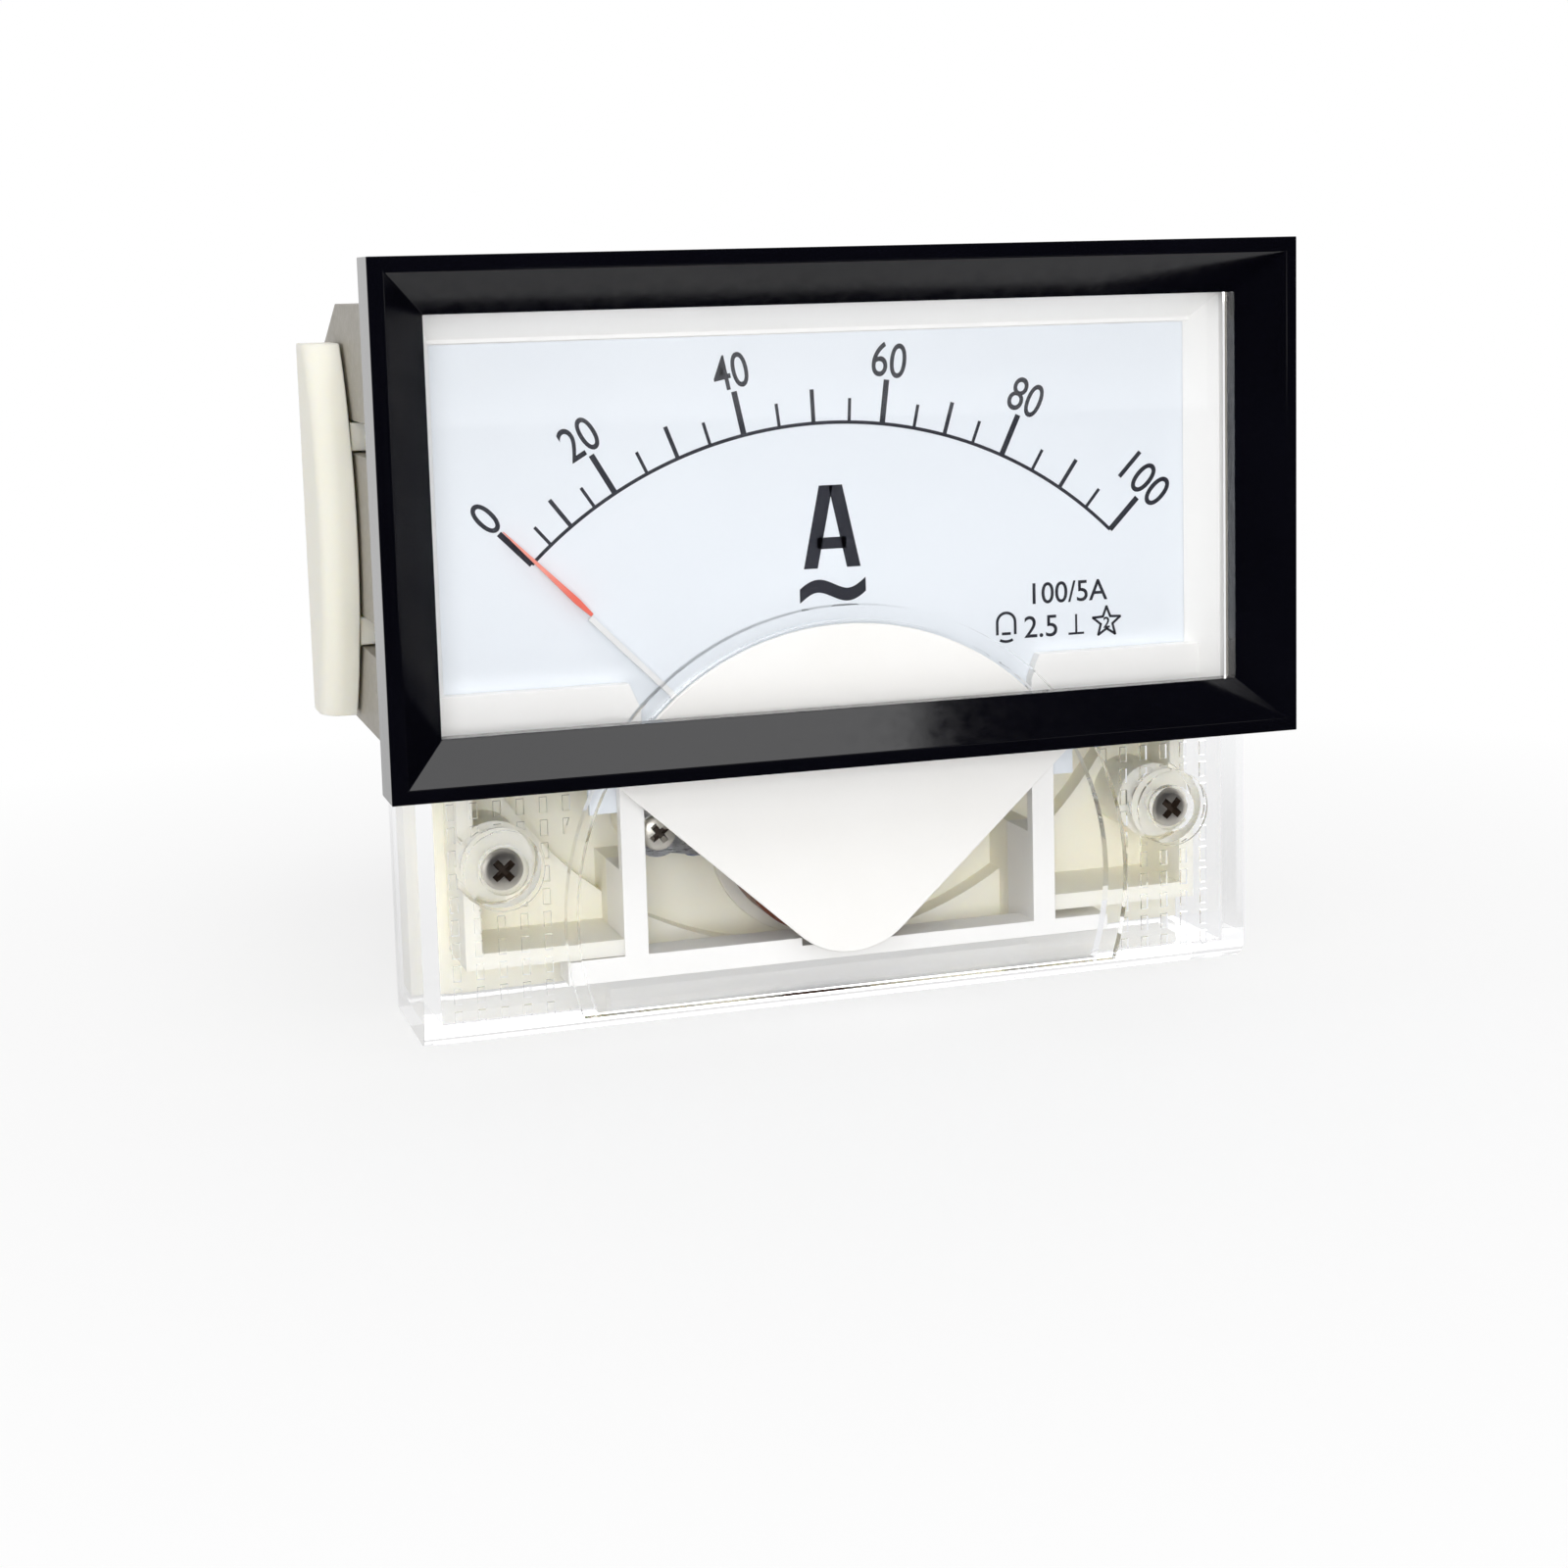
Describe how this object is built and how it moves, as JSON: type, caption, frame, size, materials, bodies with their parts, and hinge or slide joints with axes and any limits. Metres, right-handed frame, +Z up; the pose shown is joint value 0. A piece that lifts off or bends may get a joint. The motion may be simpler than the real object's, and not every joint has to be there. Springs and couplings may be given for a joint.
{
  "type": "analog panel meter",
  "caption": "Panel-mounted analog current meter with a black window frame, a clear front cover, a printed dial and a swinging pointer.",
  "frame": {"origin": "centre of the rear case's section, in the plane where the panel's front rests against the back of the face", "axes": "+X to the right seen from the front, +Y backwards through the panel, +Z up; the face looks along -Y"},
  "size_m": [0.08, 0.069, 0.065],
  "materials": {
    "gloss_black": "high gloss",
    "clear_cover": "clear moulded polystyrene",
    "screw_steel": "plated steel",
    "white_card": "satin",
    "white_plastic": "satin",
    "dial_print": "matt printed",
    "dark_pin": "dark",
    "ivory_plastic": "satin",
    "bright_steel": "plated",
    "brass": "turned",
    "copper_winding": "enamelled wire",
    "soft_iron": "plain",
    "pointer_white": "painted",
    "pointer_red": "painted",
    "spring_bronze": "rolled",
    "blue_sleeve": "insulating sleeve",
    "grey_plastic": "satin"
  },
  "bodies": {
    "meter": {"bezel_frame": "gloss_black", "front_cover": "clear_cover", "cover_screws": "screw_steel", "apron": "white_card", "inner_frame": "white_plastic", "dial_plate": "dial_print", "dial_screws": "screw_steel", "pointer_stops": "dark_pin", "base": "ivory_plastic", "case_screws": "bright_steel", "movement_bridge": "bright_steel", "bridge_screws": "screw_steel", "front_jewel_screw": "brass", "rear_jewel": "brass", "coil_bobbin": "ivory_plastic", "coil_winding": "copper_winding", "fixed_iron": "soft_iron", "zero_arm": "brass", "control_spring": "spring_bronze", "coil_lead_left": "blue_sleeve", "coil_lead_right": "blue_sleeve", "rear_case": "grey_plastic", "terminal_studs": "brass", "terminal_flat_washers": "bright_steel", "terminal_spring_washers": "bright_steel", "terminal_nuts": "bright_steel"},
    "pointer": {"spindle": "bright_steel", "moving_iron": "soft_iron", "pointer_stem": "pointer_white", "pointer_blade": "pointer_red", "balance_weights": "brass"},
    "clamp_left": {"side_clamp_left": "ivory_plastic"},
    "clamp_right": {"side_clamp_right": "ivory_plastic"}
  },
  "joints": [
    {"name": "pointer_swing", "type": "hinge", "parent": "meter", "child": "pointer", "pos_m": [0, -0.0115, -0.0287], "axis": [0, 1, 0], "range_deg": [-3, 92], "stiffness_Nm_per_rad": 0.0002},
    {"name": "clamp_left_slide", "type": "slide", "parent": "meter", "child": "clamp_left", "axis": [0, 1, 0], "range_m": [-0.0105, 0.006]},
    {"name": "clamp_right_slide", "type": "slide", "parent": "meter", "child": "clamp_right", "axis": [0, 1, 0], "range_m": [-0.0105, 0.006]}
  ]
}
